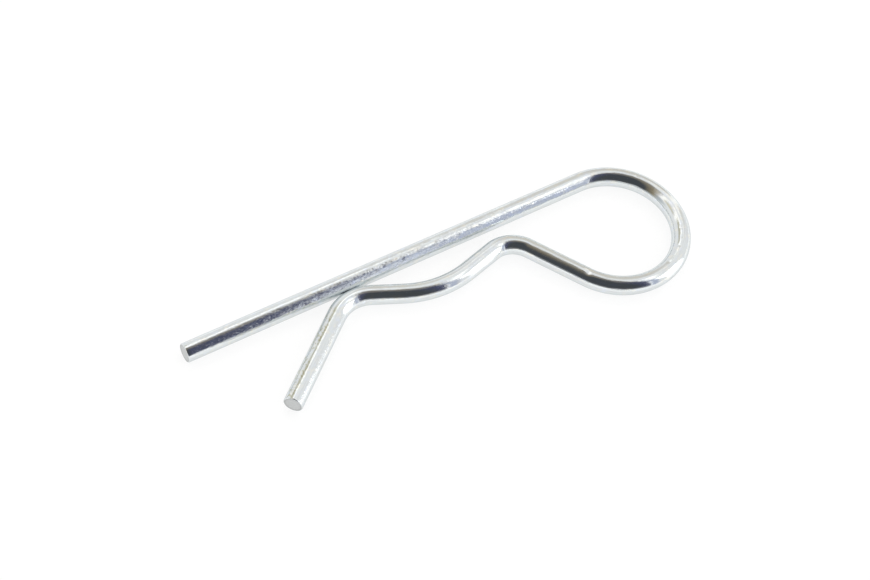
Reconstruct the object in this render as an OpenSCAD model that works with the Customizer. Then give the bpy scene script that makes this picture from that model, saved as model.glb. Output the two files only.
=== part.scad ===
// Hitch pin clip, or R clip: one length of round spring wire, bent in one plane.
//
// The straight leg goes through the cross hole of a shaft. The wire then turns
// back in a large open loop, which is the spring, and runs in along a shaped leg:
// a first crest, a hollow seat that snaps over the shaft, a second crest that
// closes on the straight leg, and a tail that flares away to lead the shaft in.
//
// The clip lies flat. X runs along the straight leg towards the loop, Y runs
// across the clip towards the straight leg, and Z = 0 is what the wire lies on.
// The origin is the middle of the clip's outline, seen from above.
//
// The wire is built as it is formed: a chain of straight runs and bends, each
// starting where the one before it ends and along its direction. Cold bending
// draws the wire a hair thinner, so each bend starts just inside the run before
// it, ends just inside the run after it, and lies within their surface there.

/* [Wire] */
// Diameter of the round spring wire
wire_d = 3; // [2:0.1:4.5]
// How much thinner the wire is where it is bent
bend_thinning = 0.01; // [0.01:0.01:0.1]
// Radius of the worn edge round each cut end
end_edge_r = 0.3; // [0.1:0.05:0.9]

/* [Straight leg] */
// Length of the straight leg, from its cut end to the start of the loop
leg_length = 69.2; // [45:0.1:110]

/* [Loop] */
// Inside diameter of the loop
loop_inner_d = 17.8; // [14:0.1:26]
// Straight run from the loop in to the first crest
throat_run = 9.9; // [2:0.1:20]

/* [First crest] */
// Clear gap between the first crest and the straight leg
crest1_gap = 1.9; // [0.3:0.1:3]
// Inside radius of the first crest
crest1_inner_r = 3.2; // [1.5:0.1:6]
// Straight run from the first crest out to the seat
seat_run_in = 5.5; // [1:0.1:12]

/* [Shaft seat] */
// Diameter of the shaft that the seat holds, centred on the straight leg
shaft_d = 11; // [9:0.1:16]
// Inside radius of the seat's hollow
seat_inner_r = 15; // [8:0.1:24]
// Straight run from the seat back in to the second crest
seat_run_out = 4.8; // [1:0.1:12]

/* [Second crest] */
// Clearance left between the second crest and the straight leg
crest2_gap = 0.05; // [0.05:0.05:2]
// Inside radius of the second crest
crest2_inner_r = 4.8; // [2:0.1:8]

/* [Tail] */
// Angle at which the tail flares away from the straight leg
tail_angle = 38.4; // [15:0.1:60]
// Straight run of the tail, from the second crest to its cut end
tail_run = 16.8; // [6:0.1:24]

/* [Hidden] */
$fn = 96;

wire_r = wire_d / 2;

// How far a bend reaches into the straight run at each of its ends
bend_lap = 0.05;

// Radii of the bends, along the middle of the wire
loop_r = loop_inner_d / 2 + wire_r;
crest1_r = crest1_inner_r + wire_r;
seat_r = seat_inner_r + wire_r;
crest2_r = crest2_inner_r + wire_r;

// Height of each bend's centre, with the middle of the straight leg at 0. The
// loop hangs below the leg, the crests' centres lie beyond them, away from the
// leg, and the seat's centre lies on the leg's other side.
loop_y = -loop_r;
crest1_y = -(wire_d + crest1_gap + crest1_r);
seat_y = seat_r - (shaft_d / 2 + wire_r);
crest2_y = -(wire_d + crest2_gap + crest2_r);

// How far the wire leans towards the straight leg on each run of the shaped leg
throat_lean = lean(crest1_y - loop_y, loop_r + crest1_r, throat_run, 1);
seat_in_lean = lean(seat_y - crest1_y, crest1_r + seat_r, seat_run_in, -1);
seat_out_lean = lean(crest2_y - seat_y, seat_r + crest2_r, seat_run_out, 1);

// Outline of the clip, seen from above
clip_length = leg_length + loop_r + wire_r;

// Distance along the leg between the centres of two bends that turn opposite
// ways, from their rise, the sum of their radii and the straight run that
// touches them both.
function spacing(rise, radii, run) = sqrt(pow(run, 2) + pow(radii, 2) - pow(rise, 2));

// Lean of the straight run between two such bends. The side is 1 where the run
// comes off a bend that turns towards the leg, and -1 where it comes off one
// that turns away from it.
function lean(rise, radii, run, side) =
    atan2(rise, spacing(rise, radii, run)) + side * atan2(radii, run);

// A straight run of wire along X. What follows starts at its far end.
module run(length) {
    rotate([0, 90, 0])
        cylinder(d = wire_d, h = length);
    translate([length, 0, 0])
        children();
}

// A bend that starts along X and turns left, or right where the turn is
// negative. What follows starts at its far end, along the new direction.
module bend(radius, turn) {
    side = sign(turn);
    centre = [0, side * radius, 0];
    first = min(-side * 90, -side * 90 + turn);
    lap = bend_lap / radius * 180 / PI;
    translate(centre) {
        rotate_extrude(angle = abs(turn) + 2 * lap, start = first - lap)
            translate([radius, 0])
                circle(d = wire_d - bend_thinning);
        rotate([0, 0, turn])
            translate(-centre)
                children();
    }
}

// The last slice of wire at a cut end: a flat face with its edge rounded over.
module cut_end() {
    face_r = wire_r - end_edge_r;
    rotate([0, 90, 0])
        rotate_extrude() {
            square([face_r, end_edge_r]);
            translate([face_r, 0])
                intersection() {
                    circle(r = end_edge_r);
                    square(end_edge_r);
                }
        }
}

module clip_wire() {
    color([0.78, 0.8, 0.8])
        translate([end_edge_r - clip_length / 2, loop_r, wire_r]) {
            mirror([1, 0, 0])
                cut_end();
            run(leg_length - end_edge_r)
            bend(loop_r, -180 - throat_lean)
            run(throat_run)
            bend(crest1_r, throat_lean - seat_in_lean)
            run(seat_run_in)
            bend(seat_r, seat_in_lean - seat_out_lean)
            run(seat_run_out)
            bend(crest2_r, seat_out_lean + tail_angle)
            run(tail_run - end_edge_r)
            cut_end();
        }
}

clip_wire();
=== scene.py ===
"""Hitch pin clip: one length of zinc-plated spring wire, on a plain stage.

Laid out as an add-on and run as a script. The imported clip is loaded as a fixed
frame, the wire is formed again along the same route with its finish on it, and
a floor, soft light and a camera are set up around it.
"""

import math

import bmesh
import bpy
from bpy.props import FloatProperty, FloatVectorProperty, IntProperty, PointerProperty
from mathutils import Matrix, Vector


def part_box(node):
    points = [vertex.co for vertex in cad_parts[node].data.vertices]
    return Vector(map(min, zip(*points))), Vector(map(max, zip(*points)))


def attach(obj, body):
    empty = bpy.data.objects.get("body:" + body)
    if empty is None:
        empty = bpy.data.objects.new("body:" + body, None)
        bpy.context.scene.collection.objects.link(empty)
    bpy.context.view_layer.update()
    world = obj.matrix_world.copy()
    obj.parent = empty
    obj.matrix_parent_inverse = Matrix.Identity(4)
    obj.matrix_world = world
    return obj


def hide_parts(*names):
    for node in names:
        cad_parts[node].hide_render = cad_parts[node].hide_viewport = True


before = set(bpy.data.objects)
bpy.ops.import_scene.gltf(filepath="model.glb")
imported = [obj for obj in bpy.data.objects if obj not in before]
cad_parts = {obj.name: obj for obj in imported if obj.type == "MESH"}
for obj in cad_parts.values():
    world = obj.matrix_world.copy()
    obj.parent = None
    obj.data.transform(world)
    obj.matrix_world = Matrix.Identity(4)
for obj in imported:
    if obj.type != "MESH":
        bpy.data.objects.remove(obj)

bl_info = {
    "name": "Hitch Pin Clip",
    "version": (1, 0, 0),
    "blender": (4, 5, 0),
    "location": "3D View > Sidebar > Hitch Clip",
    "description": "Forms a hitch pin clip from plated wire and sets a plain stage for it",
    "category": "Add Mesh",
}

MM = 0.001
CLIP_NODE = "clip_wire"
WIRE_OBJECT = "plated_clip_wire"

# Points closer together than this are taken as one
TOUCH = 0.001 * MM

# How finely round forms are made
ROUND_SIDES = 96
TENT_RINGS = 48
EDGE_SEGMENTS = 5
FEWEST_BEND_STEPS = 8
SMOOTH_ANGLE = math.radians(40)

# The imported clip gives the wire, the leg and the loop
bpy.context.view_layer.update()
BOX_LOW, BOX_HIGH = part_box(CLIP_NODE)
WIRE_D = BOX_HIGH.z - BOX_LOW.z
LOOP_R = (BOX_HIGH.y - BOX_LOW.y - WIRE_D) / 2
LEG_LENGTH = BOX_HIGH.x - BOX_LOW.x - LOOP_R - WIRE_D / 2
LEG_END = Vector((BOX_LOW.x, BOX_HIGH.y - WIRE_D / 2, BOX_LOW.z + WIRE_D / 2))

# Nicks left on the loop, in mm and degrees: how far along the wire from the leg's cut
# end, how far round it from its left side, radius and depth
NICKS = (
    (78.7, 87, 0.45, 0.03),
    (91.0, 96, 0.5, 0.035),
    (92.6, 92, 0.45, 0.03),
    (94.3, 98, 0.5, 0.035),
    (98.4, 102, 0.5, 0.04),
    (109.3, 108, 0.45, 0.035),
    (112.5, 86, 0.8, 0.08),
)

# Where each point of the wire's surface lies on the straightened wire: X along it from
# the leg's cut end, Y to its left and Z up, from its middle
WIRE_PLACE = "wire_place"

# Grain of the plate, as noise on the straightened wire: its scale along the wire, to its
# left and up, its detail and its roughness
GRAIN = {
    "lines": ((300, 4500, 4500), 3.0, 0.6),
    "speckle": ((2500, 4000, 4000), 2.0, 0.6),
    "waves": ((500, 2000, 2000), 3.0, 0.5),
    "streaks": ((420, 1300, 1300), 2.0, 0.5),
    "specks": ((2600, 3000, 3000), 1.0, 0.5),
    "stains": ((900, 1500, 1500), 2.0, 0.5),
}

# Levels of the noise between which each colour of the plate sets in
LINES_LEVELS = (0.35, 0.65)
BLUE_LEVELS = (0.5, 0.75)
STRAW_LEVELS = (0.52, 0.78)
SPECK_LEVELS = (0.5, 0.68)

# Zones of the plate, in mm: where each starts to come in, and where it is there in full.
# The streaks are on the leg. The bends' finish comes in near the end of the leg, and goes
# before the start of the tail. The darker olive specks are on the upper outer side of the tail.
STREAKS_IN = (26, 34)
STREAKS_OUT = (64, 54)
BENDS_IN = (-3, 6)
BENDS_OUT = (0, -8)
SPECKS_IN = (-2, 2)
SPECKS_ACROSS = (0.1, -0.4)
SPECKS_UP = (-0.4, 0.1)

# Grain of the cut faces, and where their darker edge sets in, in mm from the middle
CUT_SCALE = 3000.0
CUT_DETAIL = 4.0
CUT_RAGGED = 0.65
CUT_RIM_IN = (0.95, 1.5)

# The light tent round the clip is described by directions as seen from the clip, as
# unit vectors. A band lies between two planes through it, and is given by their normal,
# its middle, its half width and the softness of its edges.
TENT_X = (1, 0, 0)
TENT_Y = (0, 1, 0)
TENT_DOWN_Y = (0, -1, 0)

# Round panels: azimuth and elevation of the middle, cosine of the half angle,
# softness of the edge and colour
ROUND_PANELS = (
    (42, 25, 0.93, 0.05, (0.79, 0.755, 0.69)),
    (129, 50, 0.985, 0.012, (0.77, 0.74, 0.61)),
    (90, 46, 0.98, 0.014, (0.64, 0.61, 0.49)),
    (178, 22, 0.93, 0.07, (0.55, 0.58, 0.6)),
)

# Bright seams between the panels: each lies where two bands cross, and has a colour
SEAMS = (
    (((-0.148, 0.989, 0), 0.365, 0.04, 0.04), (TENT_X, -0.22, 0.4, 0.1), (1.5, 1.45, 1.38)),
    (((0.371, 0.928, 0), 0.5, 0.04, 0.05), (TENT_X, -0.1, 0.33, 0.12), (1.5, 1.45, 1.38)),
    (((0.05, 0.999, 0), 0.43, 0.03, 0.05), (TENT_X, 0.85, 0.35, 0.08), (1.55, 1.5, 1.42)),
    ((TENT_X, 0.433, 0.035, 0.035), (TENT_Y, -0.13, 0.25, 0.08), (1.75, 1.73, 1.7)),
    ((TENT_Y, 0.56, 0.075, 0.05), (TENT_X, 0.22, 0.14, 0.05), (1.5, 1.48, 1.45)),
)

# The strip beside the dark side, and the thin gap between the two
SIDE_STRIP = ((TENT_X, 0.415, 0.075, 0.02), ((-0.91, -0.413, 0), 0.29, 0.5, 0.045))
SIDE_GAP = ((TENT_X, 0.339, 0.012, 0.01), (TENT_DOWN_Y, 0.85, 0.25, 0.1), (1.5, 1.53, 1.58))

# The dark side. Its right edge is a curve that bulges out at one height, its left edge
# and its foot are planes, and it ends under the top panel. Each edge is given by where
# the dark starts to fade and where it is gone, or by an offset and a softness.
RIGHT_EDGE = (0.306, 0.356)
RIGHT_BULGE = 0.035
RIGHT_BULGE_Y = -0.4
LEFT_NORMAL = (0.25, -0.968, 0)
LEFT_EDGE = (-0.305, 0.09)
FOOT_EDGE = (0.12, 0.22)
TOP_PANEL = (49.8, 55.1)
TOP_EDGE = (0.94, 1.0)

# Where its tone turns from plain to that of its right edge, left edge and top
RIGHT_TONE = (0.08, 0.28)
LEFT_TONE = (0.02, -0.26)
TOP_TONE = (0.76, 0.97)

# A ray that has met the metal more often than this is past its first reflection
FIRST_REFLECTION = 1.5

# What the camera sees lies between these distances from it
NEAREST_SEEN = 10 * MM
FARTHEST_SEEN = 10


def length_value(name, description, default):
    """A length in metres, shown in the scene's unit."""
    return FloatProperty(
        name=name, description=description, default=default, unit="LENGTH", precision=5
    )


def angle_value(name, description, degrees):
    """An angle, given in degrees and kept in radians."""
    return FloatProperty(
        name=name,
        description=description,
        default=math.radians(degrees),
        subtype="ANGLE",
        unit="ROTATION",
    )


def colour_value(name, description, default):
    """A colour, which may be brighter than white on the stage."""
    return FloatVectorProperty(
        name=name,
        description=description,
        default=default,
        subtype="COLOR",
        size=3,
        min=0,
        max=4,
    )


def plain_value(name, description, default):
    """A number without a unit."""
    return FloatProperty(name=name, description=description, default=default)


class ClipWireSizes(bpy.types.PropertyGroup):
    """Sizes of the bent wire."""

    wire_d: length_value("Wire diameter", "Diameter of the spring wire", WIRE_D)
    leg_length: length_value("Leg length", "Straight leg, from cut end to loop", LEG_LENGTH)
    loop_r: length_value("Loop radius", "Radius of the loop, at the wire's middle", LOOP_R)
    throat_run: length_value("Throat run", "Straight run from loop to first crest", 9.9 * MM)
    crest1_gap: length_value("First crest gap", "Gap from first crest to leg", 1.9 * MM)
    crest1_inner_r: length_value("First crest radius", "Inside radius of first crest", 3.2 * MM)
    seat_run_in: length_value("Seat run in", "Straight run into the shaft seat", 5.5 * MM)
    shaft_d: length_value("Shaft diameter", "Shaft that the seat holds", 11 * MM)
    seat_inner_r: length_value("Seat radius", "Inside radius of the seat's hollow", 15 * MM)
    seat_run_out: length_value("Seat run out", "Straight run out of the seat", 4.8 * MM)
    crest2_gap: length_value("Second crest gap", "Clearance, second crest to leg", 0.05 * MM)
    crest2_inner_r: length_value("Second crest radius", "Inside radius of second crest", 4.8 * MM)
    tail_angle: angle_value("Tail angle", "Flare of the tail away from the leg", 38.4)
    tail_run: length_value("Tail run", "Straight run of the tail", 16.8 * MM)
    edge_r: length_value("Cut edge radius", "Rounding of the cut ends' edges", 0.14 * MM)
    cut_border: length_value("Cut border", "Width of the border of the cut faces", 0.25 * MM)
    cut_dish: length_value("Cut dish", "How far the cut faces are sunk", 0.03 * MM)
    sides: IntProperty(name="Sides", description="Faces round the wire", default=ROUND_SIDES, min=16)
    ring_step: length_value("Ring step", "Wire between two rings of edges", 0.25 * MM)


class ClipFinish(bpy.types.PropertyGroup):
    """Colours and grain of the plated wire and its cut ends."""

    zinc: colour_value("Zinc", "Bright zinc plate", (0.73, 0.768, 0.77))
    zinc_lines: colour_value("Zinc, lines", "Plate in the drawn lines", (0.68, 0.7, 0.71))
    zinc_blue: colour_value("Zinc, blue", "Plate with blue passivation", (0.71, 0.75, 0.81))
    zinc_straw: colour_value("Zinc, straw", "Plate with straw passivation", (0.79, 0.78, 0.73))
    # Darker olive specks, set only on the upper outer side of the tail
    zinc_specks: colour_value("Zinc, pits", "Plate in the tail's small pits", (0.55, 0.55, 0.45))
    zinc_edge: colour_value("Zinc, glancing", "Plate seen along it", (0.82, 0.845, 0.845))
    cut_face: colour_value("Cut face", "Duller sheared faces", (0.54, 0.545, 0.53))
    cut_rim: colour_value("Cut face, edge", "Sheared faces by their edge", (0.42, 0.43, 0.43))
    wave_depth: length_value("Wave depth", "Depth of the waves in the plate", 0.032 * MM)
    streak_depth: length_value("Streak depth", "Depth of the leg's streaks", 0.06 * MM)
    speckle_depth: length_value("Speckle depth", "Depth of the fine speckle", 0.012 * MM)
    line_depth: length_value("Line depth", "Depth of the drawn lines", 0.012 * MM)
    cut_depth: length_value("Cut grain depth", "Depth of the cut faces' grain", 0.008 * MM)
    rough_low: plain_value("Smoothest", "Roughness of the smoothest plate", 0.05)
    rough_high: plain_value("Roughest", "Roughness of the roughest plate", 0.13)
    cut_rough: plain_value("Cut roughness", "Roughness of the cut faces", 0.5)
    bend_grain: plain_value("Grain on bends", "Share of the grain kept on bends", 0.45)


class ClipStage(bpy.types.PropertyGroup):
    """Floor, light tent, lamp and camera."""

    floor_r: length_value("Floor radius", "Radius of the pale floor", 3.0)
    floor_colour: colour_value("Floor", "Colour of the pale floor", (0.16, 0.16, 0.16))
    floor_glow: plain_value("Floor glow", "White that the floor adds to the eye", 0.82)
    floor_rough: plain_value("Floor roughness", "Roughness of the floor's paint", 0.35)
    tent_r: length_value("Tent radius", "Distance from the clip to the tent", 2.0)
    dark_plain: colour_value("Dark side", "Colour of the dark side", (0.07, 0.077, 0.086))
    dark_right: colour_value("Dark, right", "By its right edge", (0.09, 0.097, 0.165))
    dark_left: colour_value("Dark, left", "By its left edge", (0.37, 0.31, 0.21))
    dark_top: colour_value("Dark, top", "Under the top panel", (0.33, 0.3, 0.26))
    side_strip: colour_value("Side strip", "Strip beside the dark side", (0.56, 0.6, 0.73))
    box_level: plain_value("Soft box level", "Brightness of the soft box", 1.35)
    box_distance: length_value("Soft box distance", "From the clip to the soft box", 1.3)
    box_azimuth: angle_value("Soft box azimuth", "From X towards Y", -35.5)
    box_elevation: angle_value("Soft box elevation", "Above the floor", 21)
    box_width: angle_value("Soft box width", "As seen from the clip", 26)
    box_height: angle_value("Soft box height", "As seen from the clip", 50)
    lens: plain_value("Lens", "Focal length in millimetres", 82.76)
    sensor: plain_value("Sensor", "Width of the sensor in millimetres", 36)
    view_azimuth: angle_value("View azimuth", "From -Y, round Z", -40.14088)
    view_elevation: angle_value("View elevation", "Above the floor", 55.10155)
    view_roll: angle_value("View roll", "Turn of the camera about its axis", 10.73625)
    view_distance: length_value("View distance", "From the camera to its target", 300.26 * MM)
    view_target: FloatVectorProperty(
        name="View target",
        description="Point that the camera looks at",
        default=(-2.2552 * MM, 3.2237 * MM, 1.5 * MM),
        subtype="XYZ",
        unit="LENGTH",
        precision=5,
    )


def run_lean(rise, radii, run, side):
    """Lean of a straight run between two bends that turn opposite ways."""
    spacing = math.sqrt(run**2 + radii**2 - rise**2)
    return math.atan2(rise, spacing) + side * math.atan2(radii, run)


def wire_route(sizes):
    """The steps along the wire: ("run", length) and ("bend", radius, turn to the left)."""
    wire_r = sizes.wire_d / 2
    crest1_r = sizes.crest1_inner_r + wire_r
    seat_r = sizes.seat_inner_r + wire_r
    crest2_r = sizes.crest2_inner_r + wire_r
    loop_y = -sizes.loop_r
    crest1_y = -(sizes.wire_d + sizes.crest1_gap + crest1_r)
    seat_y = seat_r - (sizes.shaft_d / 2 + wire_r)
    crest2_y = -(sizes.wire_d + sizes.crest2_gap + crest2_r)
    throat = run_lean(crest1_y - loop_y, sizes.loop_r + crest1_r, sizes.throat_run, 1)
    seat_in = run_lean(seat_y - crest1_y, crest1_r + seat_r, sizes.seat_run_in, -1)
    seat_out = run_lean(crest2_y - seat_y, seat_r + crest2_r, sizes.seat_run_out, 1)
    return [
        ("run", sizes.leg_length),
        ("bend", sizes.loop_r, -math.pi - throat),
        ("run", sizes.throat_run),
        ("bend", crest1_r, throat - seat_in),
        ("run", sizes.seat_run_in),
        ("bend", seat_r, seat_in - seat_out),
        ("run", sizes.seat_run_out),
        ("bend", crest2_r, seat_out + sizes.tail_angle),
        ("run", sizes.tail_run),
    ]


def walk_route(route):
    """Each step with where it starts, its direction and how far along the wire that is."""
    place = LEG_END.copy()
    heading = 0.0
    along = 0.0
    for kind, *values in route:
        ahead = Vector((math.cos(heading), math.sin(heading), 0))
        left = Vector((-ahead.y, ahead.x, 0))
        step = {"kind": kind, "start": place, "ahead": ahead, "left": left, "along": along}
        if kind == "run":
            step["length"] = values[0]
            place = place + ahead * values[0]
        else:
            radius, turn = values
            side = math.copysign(1, turn)
            centre = place + left * side * radius
            step.update(centre=centre, radius=radius, turn=turn, side=side)
            step["length"] = abs(turn) * radius
            place = centre + Matrix.Rotation(turn, 3, "Z") @ (place - centre)
            heading += turn
        along += step["length"]
        yield step


def step_middle(step, along):
    """Middle of the wire and the direction to its left, some way along one step."""
    if step["kind"] == "run":
        return step["start"] + step["ahead"] * along, step["left"]
    turned = Matrix.Rotation(along / step["radius"] * step["side"], 3, "Z")
    return step["centre"] + turned @ (step["start"] - step["centre"]), turned @ step["left"]


def nearest_along(step, point):
    """How far along one step the wire's middle comes nearest to a point."""
    if step["kind"] == "run":
        return max(0.0, min(step["length"], (point - step["start"]).dot(step["ahead"])))
    spoke = step["start"] - step["centre"]
    arm = point - step["centre"]
    swing = math.atan2(spoke.x * arm.y - spoke.y * arm.x, spoke.x * arm.x + spoke.y * arm.y)
    angle = swing * step["side"] % (2 * math.pi)
    full = abs(step["turn"])
    if angle > full:
        angle = full if angle < math.pi + full / 2 else 0.0
    return angle * step["radius"]


def cut_ends(steps):
    """Middle and outward direction of each cut end."""
    first, last = steps[0], steps[-1]
    return (
        (first["start"], -first["ahead"]),
        (last["start"] + last["ahead"] * last["length"], last["ahead"]),
    )


def select_where(thing, kind, wanted):
    """In edit mode, selects the VERT, EDGE or FACE elements that the test picks."""
    bpy.ops.mesh.select_mode(type=kind)
    bpy.ops.mesh.select_all(action="DESELECT")
    mesh = bmesh.from_edit_mesh(thing.data)
    elements = {"VERT": mesh.verts, "EDGE": mesh.edges, "FACE": mesh.faces}[kind]
    picked = [element for element in elements if wanted(element)]
    if not picked:
        raise RuntimeError(f"Nothing to work on was found on {thing.name}")
    for element in picked:
        element.select_set(True)
    bmesh.update_edit_mesh(thing.data)


def form_round_wire(sizes, steps):
    """A disc of wire is drawn out along the straight runs and spun round the bends."""
    bpy.ops.object.select_all(action="DESELECT")
    bpy.ops.mesh.primitive_circle_add(
        vertices=sizes.sides,
        radius=sizes.wire_d / 2,
        fill_type="NGON",
        location=LEG_END,
        rotation=(0, math.radians(90), 0),
    )
    wire = bpy.context.object
    bpy.ops.object.transform_apply(location=True, rotation=True, scale=True)
    bpy.ops.object.mode_set(mode="EDIT")
    bpy.ops.mesh.select_mode(type="FACE")
    bpy.ops.mesh.select_all(action="SELECT")
    for step in steps:
        if step["kind"] == "run":
            bpy.ops.mesh.extrude_region_move(
                TRANSFORM_OT_translate={"value": step["ahead"] * step["length"]}
            )
        else:
            bpy.ops.mesh.spin(
                steps=max(FEWEST_BEND_STEPS, round(step["length"] / sizes.ring_step)),
                angle=abs(step["turn"]),
                center=step["centre"],
                axis=(0, 0, -step["side"]),
            )
    return wire


def ring_runs(wire, sizes, steps):
    """Rings of edges are cut round the straight runs, as close together as on the bends."""
    for step in steps:
        if step["kind"] != "run":
            continue
        middle = step["start"] + step["ahead"] * step["length"] / 2

        def lengthwise(edge):
            a, b = (v.co for v in edge.verts)
            as_long = abs((a - b).length - step["length"]) < TOUCH
            return as_long and ((a + b) / 2 - middle).length < sizes.wire_d

        select_where(wire, "EDGE", lengthwise)
        bpy.ops.mesh.subdivide(number_cuts=round(step["length"] / sizes.ring_step) - 1)


def dress_cut_ends(wire, sizes, steps):
    """The rims of the cut ends are rounded and their faces sunk a little inside a border."""
    ends = cut_ends(steps)

    def on_cut_end(element):
        return any(
            all(
                abs((v.co - place).dot(out)) < TOUCH and (v.co - place).length < sizes.wire_d
                for v in element.verts
            )
            for place, out in ends
        )

    select_where(wire, "EDGE", on_cut_end)
    bpy.ops.mesh.bevel(
        offset=sizes.edge_r, segments=EDGE_SEGMENTS, profile=0.5, affect="EDGES"
    )
    select_where(wire, "FACE", on_cut_end)
    bpy.ops.mesh.inset(thickness=sizes.cut_border, depth=-sizes.cut_dish)


def press_nicks(wire, sizes, steps):
    """Small dents left by the bending tools, each pressed in at one point of the wire."""
    for along, around, radius, depth in NICKS:
        step = next(s for s in steps if along * MM <= s["along"] + s["length"])
        middle, left = step_middle(step, along * MM - step["along"])
        tilt = math.radians(around)
        out = left * math.cos(tilt) + Vector((0, 0, math.sin(tilt)))
        spot = middle + out * sizes.wire_d / 2
        vertices = bmesh.from_edit_mesh(wire.data).verts
        gap = min((v.co - spot).length for v in vertices)
        select_where(wire, "VERT", lambda v: (v.co - spot).length <= gap)
        bpy.ops.transform.translate(
            value=-out * depth * MM,
            use_proportional_edit=True,
            proportional_edit_falloff="SMOOTH",
            proportional_size=radius * MM,
        )


def finish_wire_mesh(wire):
    """The spun and drawn parts are joined, and every face turned outwards."""
    bpy.ops.mesh.select_all(action="SELECT")
    bpy.ops.mesh.remove_doubles(threshold=TOUCH / 10)
    bpy.ops.mesh.normals_make_consistent(inside=False)
    mesh = bmesh.from_edit_mesh(wire.data)
    if not all(edge.is_manifold for edge in mesh.edges):
        raise RuntimeError("The wire's surface has a gap")
    bpy.ops.object.mode_set(mode="OBJECT")
    bpy.ops.object.shade_smooth_by_angle(angle=SMOOTH_ANGLE)
    wire.name = WIRE_OBJECT
    wire.data.name = WIRE_OBJECT


def record_wire_place(wire, steps):
    """Stores where each point lies on the straightened wire, for the grain of the plate."""
    places = []
    for vertex in wire.data.vertices:
        nearest = None
        for step in steps:
            along = nearest_along(step, vertex.co)
            middle, left = step_middle(step, along)
            cross = vertex.co - middle
            if nearest is None or cross.length < nearest - TOUCH / 1000:
                nearest = cross.length
                place = (step["along"] + along, cross.dot(left), cross.z)
        places.extend(place)
    attribute = wire.data.attributes.new(WIRE_PLACE, "FLOAT_VECTOR", "POINT")
    attribute.data.foreach_set("vector", places)


def new_material(name):
    """An empty node material, with the short way to add its nodes."""
    material = bpy.data.materials.new(name)
    material.use_nodes = True
    material.node_tree.nodes.clear()
    return material, node_maker(material.node_tree)


def node_maker(tree):
    """A short way to add a node with its settings, and input values or links by name."""

    def add(kind, settings=None, **inputs):
        node = tree.nodes.new(kind)
        for key, value in (settings or {}).items():
            setattr(node, key, value)
        for key, value in inputs.items():
            numbered = key[0] == "i" and key[1:].isdigit()
            socket = node.inputs[int(key[1:]) if numbered else key.replace("_", " ")]
            if isinstance(value, bpy.types.NodeSocket):
                tree.links.new(value, socket)
            else:
                socket.default_value = value
        return node

    return add


def ramp(add, value, low, high, kind="SMOOTHSTEP"):
    """0 at the low value, 1 at the high one, and a slope between them."""
    settings = {"interpolation_type": kind}
    return add("ShaderNodeMapRange", settings, Value=value, From_Min=low, From_Max=high).outputs[0]


def zone(add, value, ends, start=0.0):
    """A ramp between two places, given in mm from where the zone is counted."""
    low, high = (start + end * MM for end in ends)
    return ramp(add, value, low, high)


def math_of(add, operation, *values):
    """One or two numbers put through an operation."""
    inputs = {f"i{index}": value for index, value in enumerate(values)}
    return add("ShaderNodeMath", {"operation": operation}, **inputs).outputs[0]


def dot(add, way, normal):
    """How far a direction points along a fixed one."""
    settings = {"operation": "DOT_PRODUCT"}
    return add("ShaderNodeVectorMath", settings, i0=way, i1=tuple(normal)).outputs["Value"]


def mix_colours(add, factor, first, second):
    """Mixes two colours, each a fixed colour or the output of another node."""
    first, second = (
        colour if isinstance(colour, bpy.types.NodeSocket) else (*colour, 1)
        for colour in (first, second)
    )
    settings = {"data_type": "RGBA"}
    return add("ShaderNodeMix", settings, i0=factor, i6=first, i7=second).outputs[2]


def wire_noise(add, place, grain):
    """Noise on the straightened wire, with a scale for each of its three directions."""
    scale, detail, roughness = GRAIN[grain]
    at = add("ShaderNodeMapping", None, Vector=place, Scale=scale).outputs[0]
    return add(
        "ShaderNodeTexNoise", None, Vector=at, Scale=1.0, Detail=detail, Roughness=roughness
    )


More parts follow.
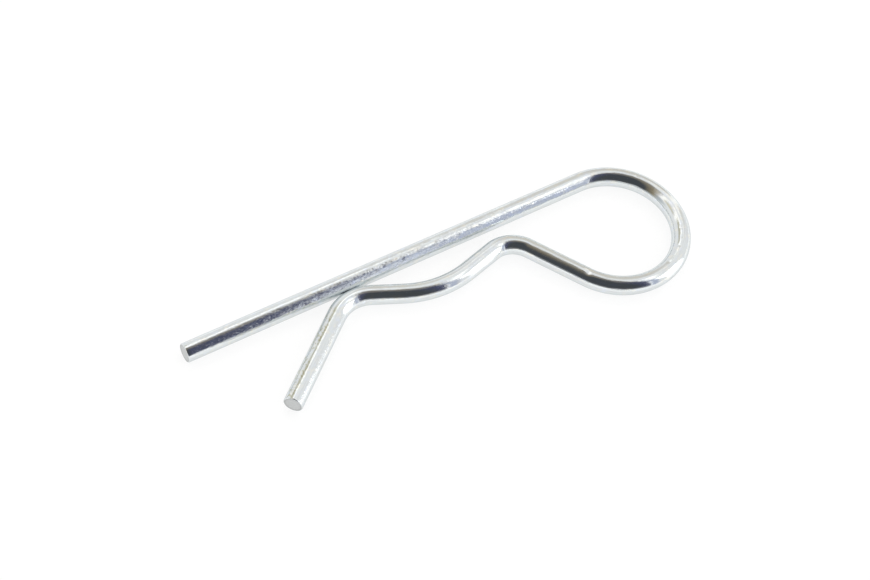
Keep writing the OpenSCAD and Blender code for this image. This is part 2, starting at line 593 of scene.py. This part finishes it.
def plated_wire_material(finish, steps):
    """Bright zinc plate over drawn wire: lines and streaks along it and a fine speckle."""
    material, add = new_material("zinc_plated_wire")
    place = add("ShaderNodeAttribute", {"attribute_name": WIRE_PLACE}).outputs["Vector"]
    along, across, up = add("ShaderNodeSeparateXYZ", None, i0=place).outputs[:3]
    leg_end = steps[0]["length"]
    tail_start = steps[-1]["along"]

    # The bends are burnished by the tools, the leg is handled most, and the upper outer
    # side of the tail gets darker olive specks
    bent = math_of(
        add,
        "MULTIPLY",
        zone(add, along, BENDS_IN, leg_end),
        zone(add, along, BENDS_OUT, tail_start),
    )
    kept = add("ShaderNodeMapRange", None, Value=bent, To_Min=1.0, To_Max=finish.bend_grain)
    kept = kept.outputs[0]
    handled = math_of(
        add,
        "MULTIPLY",
        zone(add, along, STREAKS_IN),
        zone(add, along, STREAKS_OUT),
    )
    on_tail = math_of(
        add,
        "MULTIPLY",
        zone(add, along, SPECKS_IN, tail_start),
        zone(add, across, SPECKS_ACROSS),
    )
    on_tail = math_of(add, "MULTIPLY", on_tail, zone(add, up, SPECKS_UP))

    lines, speckle, waves, streaks, specks = (
        wire_noise(add, place, grain).outputs["Fac"]
        for grain in ("lines", "speckle", "waves", "streaks", "specks")
    )
    stains = wire_noise(add, place, "stains").outputs["Color"]
    blue, straw = add("ShaderNodeSeparateColor", None, i0=stains).outputs[:2]

    colour = mix_colours(add, ramp(add, lines, *LINES_LEVELS), finish.zinc, finish.zinc_lines)
    colour = mix_colours(add, ramp(add, blue, *BLUE_LEVELS), colour, finish.zinc_blue)
    colour = mix_colours(add, ramp(add, straw, *STRAW_LEVELS), colour, finish.zinc_straw)
    # Darker olive specks, on the upper outer side of the tail only
    specked = math_of(add, "MULTIPLY", ramp(add, specks, *SPECK_LEVELS), on_tail)
    colour = mix_colours(add, specked, colour, finish.zinc_specks)
    rough = add(
        "ShaderNodeMapRange",
        None,
        Value=speckle,
        To_Min=finish.rough_low,
        To_Max=finish.rough_high,
    )
    surface = add(
        "ShaderNodeBsdfPrincipled",
        None,
        Metallic=1.0,
        Base_Color=colour,
        Roughness=rough.outputs[0],
        Specular_Tint=(*finish.zinc_edge, 1),
    )
    normal = surface.inputs["Normal"]
    for height, depth, strength in (
        (lines, finish.line_depth, 1.0),
        (speckle, finish.speckle_depth, kept),
        (streaks, finish.streak_depth, handled),
        (waves, finish.wave_depth, kept),
    ):
        bump = add("ShaderNodeBump", None, Height=height, Strength=strength, Distance=depth)
        material.node_tree.links.new(bump.outputs[0], normal)
        normal = bump.inputs["Normal"]
    add("ShaderNodeOutputMaterial", None, Surface=surface.outputs[0])
    return material


def cut_face_material(finish):
    """The sheared faces: dull, with the torn grain of the cut, and darker at the edge."""
    material, add = new_material("sheared_wire_end")
    point = add("ShaderNodeTexCoord").outputs["Object"]
    grain = add(
        "ShaderNodeTexNoise",
        None,
        Vector=point,
        Scale=CUT_SCALE,
        Detail=CUT_DETAIL,
        Roughness=CUT_RAGGED,
    ).outputs["Fac"]
    place = add("ShaderNodeAttribute", {"attribute_name": WIRE_PLACE}).outputs["Vector"]
    across = add("ShaderNodeVectorMath", {"operation": "MULTIPLY"}, i0=place, i1=(0, 1, 1))
    out = add("ShaderNodeVectorMath", {"operation": "LENGTH"}, i0=across.outputs[0])
    colour = mix_colours(add, grain, finish.cut_face, finish.zinc_lines)
    by_rim = zone(add, out.outputs["Value"], CUT_RIM_IN)
    colour = mix_colours(add, by_rim, colour, finish.cut_rim)
    bump = add("ShaderNodeBump", None, Height=grain, Strength=1.0, Distance=finish.cut_depth)
    surface = add(
        "ShaderNodeBsdfPrincipled",
        None,
        Metallic=1.0,
        Base_Color=colour,
        Roughness=finish.cut_rough,
        Normal=bump.outputs[0],
    )
    add("ShaderNodeOutputMaterial", None, Surface=surface.outputs[0])
    return material


def plate_wire(wire, sizes, finish, steps):
    """The plate goes on everything but the sheared faces."""
    wire.data.materials.clear()
    wire.data.materials.append(plated_wire_material(finish, steps))
    wire.data.materials.append(cut_face_material(finish))
    face_r = sizes.wire_d / 2 - sizes.edge_r
    middles = [place for place, _ in cut_ends(steps)]
    for face in wire.data.polygons:
        if min((face.center - middle).length for middle in middles) < face_r:
            face.material_index = 1


class CLIP_OT_form_wire(bpy.types.Operator):
    """Form the clip's wire along its route and plate it"""

    bl_idname = "clip.form_wire"
    bl_label = "Form the Clip Wire"

    def execute(self, context):
        sizes = context.scene.clip_wire_sizes
        steps = list(walk_route(wire_route(sizes)))
        wire = form_round_wire(sizes, steps)
        ring_runs(wire, sizes, steps)
        dress_cut_ends(wire, sizes, steps)
        press_nicks(wire, sizes, steps)
        finish_wire_mesh(wire)
        record_wire_place(wire, steps)
        plate_wire(wire, sizes, context.scene.clip_finish, steps)
        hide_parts(CLIP_NODE)
        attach(wire, "root")
        return {"FINISHED"}


def direction(azimuth, elevation):
    """Unit vector: azimuth from X towards Y, and elevation above the floor."""
    flat = math.cos(elevation)
    return Vector((math.cos(azimuth) * flat, math.sin(azimuth) * flat, math.sin(elevation)))


def panel_direction(azimuth, elevation):
    """The same, from angles in degrees."""
    return direction(math.radians(azimuth), math.radians(elevation))


def floor_material(stage):
    """Pale floor, as white to the eye and in the metal, that keeps its shadows."""
    material, add = new_material("pale_floor")
    path = add("ShaderNodeLightPath").outputs
    seen = math_of(add, "MAXIMUM", path["Is Camera Ray"], path["Is Glossy Ray"])
    seen = math_of(add, "MAXIMUM", seen, path["Is Transmission Ray"])
    level = math_of(add, "MULTIPLY", seen, stage.floor_glow)
    glow = add("ShaderNodeEmission", None, Color=(1, 1, 1, 1), Strength=level)
    paint = add(
        "ShaderNodeBsdfPrincipled",
        None,
        Base_Color=(*stage.floor_colour, 1),
        Roughness=stage.floor_rough,
    )
    both = add("ShaderNodeAddShader", None, i0=glow.outputs[0], i1=paint.outputs[0])
    clear = add("ShaderNodeBsdfTransparent")
    below = add("ShaderNodeNewGeometry").outputs["Backfacing"]
    mixed = add("ShaderNodeMixShader", None, i0=below, i1=both.outputs[0], i2=clear.outputs[0])
    add("ShaderNodeOutputMaterial", None, Surface=mixed.outputs[0])
    return material


def soft_side(add, way, normal, offset, softness):
    """0 on one side of a plane through the tent and 1 on the other, with a soft edge."""
    return ramp(add, dot(add, way, normal), offset - softness, offset + softness)


def soft_band(add, way, normal, middle, half_width, softness):
    """1 between the two planes of a band, with soft edges."""
    over = soft_side(add, way, normal, middle - half_width, softness)
    back = [-n for n in normal]
    under = soft_side(add, way, back, -middle - half_width, softness)
    return math_of(add, "MULTIPLY", over, under)


def crossing(add, way, first, second):
    """1 where two bands cross."""
    return math_of(add, "MULTIPLY", soft_band(add, way, *first), soft_band(add, way, *second))


def dark_side(add, way, stage):
    """Cover and colour of the tent's dark, open side."""
    x, y, _ = add("ShaderNodeSeparateXYZ", None, i0=way).outputs
    off_bulge = math_of(add, "SUBTRACT", y, RIGHT_BULGE_Y)
    curve = math_of(add, "MULTIPLY", math_of(add, "POWER", off_bulge, 2.0), RIGHT_BULGE)
    right = ramp(add, math_of(add, "ADD", x, curve), *reversed(RIGHT_EDGE))
    left = soft_side(add, way, LEFT_NORMAL, *LEFT_EDGE)
    foot = soft_side(add, way, (0, 0, 1), *FOOT_EDGE)
    near_top = dot(add, way, panel_direction(*TOP_PANEL))
    cover = math_of(add, "MULTIPLY", math_of(add, "MULTIPLY", right, left), foot)
    cover = math_of(add, "MULTIPLY", cover, ramp(add, near_top, *reversed(TOP_EDGE)))

    by_right = ramp(add, x, *RIGHT_TONE, "LINEAR")
    by_left = ramp(add, dot(add, way, LEFT_NORMAL), *LEFT_TONE, "LINEAR")
    by_top = ramp(add, near_top, *TOP_TONE, "LINEAR")
    tone = mix_colours(add, by_right, stage.dark_plain, stage.dark_right)
    tone = mix_colours(add, by_left, tone, stage.dark_left)
    return cover, mix_colours(add, by_top, tone, stage.dark_top)


def light_tent_material(stage):
    """The tent's dark side, panels and seams. The rest of it is clear, and shows the white."""
    material, add = new_material("light_tent")
    place = add("ShaderNodeTexCoord").outputs["Object"]
    way = add("ShaderNodeVectorMath", {"operation": "NORMALIZE"}, i0=place).outputs[0]
    panels = [
        (soft_side(add, way, panel_direction(azimuth, elevation), cosine, softness), colour)
        for azimuth, elevation, cosine, softness, colour in ROUND_PANELS
    ]
    panels += [(crossing(add, way, first, second), colour) for first, second, colour in SEAMS]
    panels.append((crossing(add, way, *SIDE_STRIP), stage.side_strip))
    panels.append(dark_side(add, way, stage))
    panels.append((crossing(add, way, *SIDE_GAP[:2]), SIDE_GAP[2]))

    shader = add("ShaderNodeBsdfTransparent").outputs[0]
    for cover, colour in panels:
        if not isinstance(colour, bpy.types.NodeSocket):
            colour = (*colour, 1)
        panel = add("ShaderNodeEmission", None, Color=colour).outputs[0]
        shader = add("ShaderNodeMixShader", None, i0=cover, i1=shader, i2=panel).outputs[0]

    # Only a first reflection shows the tent, so what the wires show of each other is pale
    depth = add("ShaderNodeLightPath").outputs["Glossy Depth"]
    again = math_of(add, "GREATER_THAN", depth, FIRST_REFLECTION)
    clear = add("ShaderNodeBsdfTransparent").outputs[0]
    shader = add("ShaderNodeMixShader", None, i0=again, i1=shader, i2=clear).outputs[0]
    add("ShaderNodeOutputMaterial", None, Surface=shader)
    return material


def lay_floor(stage):
    """A round pale floor, level with what the clip lies on."""
    bpy.ops.object.select_all(action="DESELECT")
    bpy.ops.mesh.primitive_circle_add(
        vertices=ROUND_SIDES, radius=stage.floor_r, fill_type="NGON"
    )
    floor = bpy.context.object
    floor.name = "pale_floor"
    floor.data.materials.append(floor_material(stage))


def hang_light_tent(stage):
    """A dome over the clip that only the metal shows. It takes no light from the clip."""
    bpy.ops.object.select_all(action="DESELECT")
    bpy.ops.mesh.primitive_uv_sphere_add(
        segments=ROUND_SIDES, ring_count=TENT_RINGS, radius=stage.tent_r
    )
    tent = bpy.context.object
    tent.name = "light_tent"
    bpy.ops.object.mode_set(mode="EDIT")
    bpy.ops.mesh.select_all(action="SELECT")
    bpy.ops.mesh.bisect(plane_co=(0, 0, MM), plane_no=(0, 0, -1), clear_outer=True)
    bpy.ops.object.mode_set(mode="OBJECT")
    if not tent.data.polygons:
        raise RuntimeError("The tent has no surface left above the floor")
    tent.data.materials.append(light_tent_material(stage))
    tent.visible_camera = False
    tent.visible_diffuse = False
    tent.visible_shadow = False


def light_world():
    """White all round, seen by the eye and in the metal."""
    world = bpy.data.worlds.new("soft_studio")
    world.use_nodes = True
    background = world.node_tree.nodes["Background"]
    background.inputs["Color"].default_value = (1, 1, 1, 1)
    background.inputs["Strength"].default_value = 1.0
    bpy.context.scene.world = world


def hang_soft_box(stage):
    """A soft box beside the clip, whose width and height are angles seen from it."""
    data = bpy.data.lights.new("soft_box", "AREA")
    data.shape = "RECTANGLE"
    data.size = 2 * stage.box_distance * math.tan(stage.box_width / 2)
    data.size_y = 2 * stage.box_distance * math.tan(stage.box_height / 2)
    data.energy = stage.box_level * math.pi * data.size * data.size_y
    lamp = bpy.data.objects.new("soft_box", data)
    bpy.context.scene.collection.objects.link(lamp)
    clip_middle = Vector((0, 0, WIRE_D / 2))
    toward = direction(stage.box_azimuth, stage.box_elevation)
    lamp.location = clip_middle + toward * stage.box_distance
    lamp.rotation_euler = (-toward).to_track_quat("-Z", "Y").to_euler()
    lamp.visible_camera = False


def place_camera(stage):
    """The camera looks at its target from the view's angles, and is turned by its roll."""
    lens = bpy.data.cameras.new("view")
    lens.lens = stage.lens
    lens.sensor_width = stage.sensor
    lens.clip_start = NEAREST_SEEN
    lens.clip_end = FARTHEST_SEEN
    camera = bpy.data.objects.new("view", lens)
    bpy.context.scene.collection.objects.link(camera)
    back = direction(stage.view_azimuth - math.radians(90), stage.view_elevation)
    level_right = Vector((math.cos(stage.view_azimuth), math.sin(stage.view_azimuth), 0))
    level_up = back.cross(level_right)
    cos_roll, sin_roll = math.cos(stage.view_roll), math.sin(stage.view_roll)
    right = level_right * cos_roll + level_up * sin_roll
    up = level_up * cos_roll - level_right * sin_roll
    turn = Matrix((right, up, back)).transposed().to_4x4()
    place = Vector(stage.view_target) + back * stage.view_distance
    camera.matrix_world = Matrix.Translation(place) @ turn
    bpy.context.scene.camera = camera


class CLIP_OT_set_stage(bpy.types.Operator):
    """Set up the floor, the light and the camera"""

    bl_idname = "clip.set_stage"
    bl_label = "Set the Stage"

    def execute(self, context):
        stage = context.scene.clip_stage
        lay_floor(stage)
        hang_light_tent(stage)
        light_world()
        hang_soft_box(stage)
        place_camera(stage)
        context.scene.view_settings.view_transform = "Standard"
        return {"FINISHED"}


class CLIP_PT_panel(bpy.types.Panel):
    """Buttons and sizes for the clip"""

    bl_label = "Hitch Clip"
    bl_idname = "CLIP_PT_panel"
    bl_space_type = "VIEW_3D"
    bl_region_type = "UI"
    bl_category = "Hitch Clip"

    def draw(self, context):
        scene = context.scene
        for operator, groups in (
            (CLIP_OT_form_wire, (scene.clip_wire_sizes, scene.clip_finish)),
            (CLIP_OT_set_stage, (scene.clip_stage,)),
        ):
            self.layout.operator(operator.bl_idname)
            for group in groups:
                for name in group.bl_rna.properties.keys():
                    if name not in {"rna_type", "name"}:
                        self.layout.prop(group, name)


CLASSES = (
    ClipWireSizes,
    ClipFinish,
    ClipStage,
    CLIP_OT_form_wire,
    CLIP_OT_set_stage,
    CLIP_PT_panel,
)


def register():
    for cls in CLASSES:
        bpy.utils.register_class(cls)
    bpy.types.Scene.clip_wire_sizes = PointerProperty(type=ClipWireSizes)
    bpy.types.Scene.clip_finish = PointerProperty(type=ClipFinish)
    bpy.types.Scene.clip_stage = PointerProperty(type=ClipStage)


def unregister():
    del bpy.types.Scene.clip_stage
    del bpy.types.Scene.clip_finish
    del bpy.types.Scene.clip_wire_sizes
    for cls in reversed(CLASSES):
        bpy.utils.unregister_class(cls)


def main():
    register()
    bpy.ops.clip.form_wire()
    bpy.ops.clip.set_stage()


if __name__ == "__main__":
    main()
